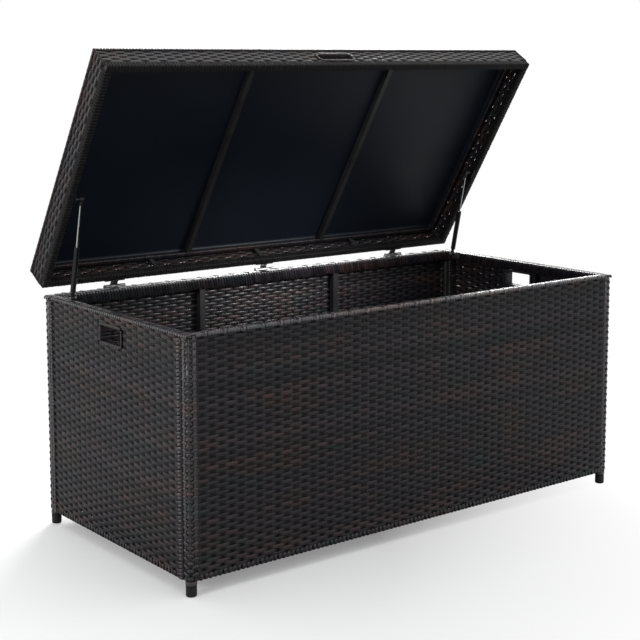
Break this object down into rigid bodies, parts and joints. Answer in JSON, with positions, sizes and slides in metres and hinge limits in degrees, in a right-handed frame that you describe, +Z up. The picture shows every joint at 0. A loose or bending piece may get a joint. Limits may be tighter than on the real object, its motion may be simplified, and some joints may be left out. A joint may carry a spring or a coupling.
{
  "type": "deck storage box",
  "caption": "Woven deck storage box on short feet, with a hinged lid held open by two gas struts, hand holes in the ends and a lined lid.",
  "frame": {"origin": "on the ground, under the middle of the open box's outline", "axes": "+X along the length to the right as seen from the front, +Y from front to back, +Z up"},
  "size_m": [1.5, 0.7954, 1.3058],
  "materials": {
    "wicker": "flat extruded resin strand, dark espresso with redder and greener strands",
    "frame_paint": "charcoal powder coat",
    "floor_sheet": "black ribbed sheet",
    "foot_plastic": "black moulded plastic",
    "zinc": "bright zinc plate",
    "liner": "smooth coated sheet, blue-black",
    "strut_black": "satin black enamel",
    "strut_chrome": "hard chrome, polished",
    "strut_plastic": "black glass-filled nylon"
  },
  "bodies": {
    "box": {"front_frame": "frame_paint", "back_frame": "frame_paint", "left_frame": "frame_paint", "right_frame": "frame_paint", "front_weave": "wicker", "back_weave": "wicker", "left_weave": "wicker", "right_weave": "wicker", "front_rim": "wicker", "back_rim": "wicker", "left_rim": "wicker", "right_rim": "wicker", "corner_wraps": "wicker", "left_hand_hole": "wicker", "right_hand_hole": "wicker", "floor_panel": "floor_sheet", "floor_bearers": "frame_paint", "foot_front_left": "foot_plastic", "foot_front_right": "foot_plastic", "foot_back_left": "foot_plastic", "foot_back_right": "foot_plastic", "panel_bolts": "zinc", "panel_nuts": "zinc", "left_hinge_box_leaf": "zinc", "centre_hinge_box_leaf": "zinc", "right_hinge_box_leaf": "zinc", "hinge_pins": "zinc", "hinge_box_screws": "zinc", "left_strut_box_bracket": "zinc", "right_strut_box_bracket": "zinc", "strut_box_screws": "zinc"},
    "lid": {"lid_frame": "frame_paint", "lid_left_crossbar": "frame_paint", "lid_right_crossbar": "frame_paint", "lid_top_weave": "wicker", "lid_front_weave": "wicker", "lid_back_weave": "wicker", "lid_left_weave": "wicker", "lid_right_weave": "wicker", "lid_binding": "wicker", "lid_liner": "liner", "lid_grip": "wicker", "left_hinge_lid_leaf": "zinc", "centre_hinge_lid_leaf": "zinc", "right_hinge_lid_leaf": "zinc", "hinge_lid_screws": "zinc", "left_strut_lid_bracket": "zinc", "right_strut_lid_bracket": "zinc", "strut_lid_screws": "zinc"},
    "left_tube": {"left_strut_tube": "strut_black", "left_strut_lower_end": "strut_plastic"},
    "right_tube": {"right_strut_tube": "strut_black", "right_strut_lower_end": "strut_plastic"},
    "left_rod": {"left_strut_rod": "strut_chrome", "left_strut_upper_end": "strut_plastic"},
    "right_rod": {"right_strut_rod": "strut_chrome", "right_strut_upper_end": "strut_plastic"}
  },
  "joints": [
    {"name": "lid_hinge", "type": "hinge", "parent": "box", "child": "lid", "pos_m": [0, 0.33333, 0.64], "axis": [1, 0, 0], "range_deg": [0, 58], "stiffness_Nm_per_rad": 10, "springref_deg": -137.51},
    {"name": "left_strut_swing", "type": "hinge", "parent": "box", "child": "left_tube", "pos_m": [-0.704, 0.24233, 0.637], "axis": [1, 0, 0], "range_deg": [0, 73]},
    {"name": "right_strut_swing", "type": "hinge", "parent": "box", "child": "right_tube", "pos_m": [0.704, 0.24233, 0.637], "axis": [1, 0, 0], "range_deg": [0, 73]},
    {"name": "left_strut_slide", "type": "slide", "parent": "left_tube", "child": "left_rod", "axis": [0, -0.2131, 0.977], "range_m": [-0.0612, 0]},
    {"name": "right_strut_slide", "type": "slide", "parent": "right_tube", "child": "right_rod", "axis": [0, -0.2131, 0.977], "range_m": [-0.0612, 0]}
  ],
  "couplings": [
    {"joint": "left_strut_swing", "follows": "lid_hinge", "ratio": 1.256},
    {"joint": "left_strut_slide", "follows": "lid_hinge", "m_per_rad": -0.060162},
    {"joint": "right_strut_swing", "follows": "lid_hinge", "ratio": 1.256},
    {"joint": "right_strut_slide", "follows": "lid_hinge", "m_per_rad": -0.060162}
  ]
}
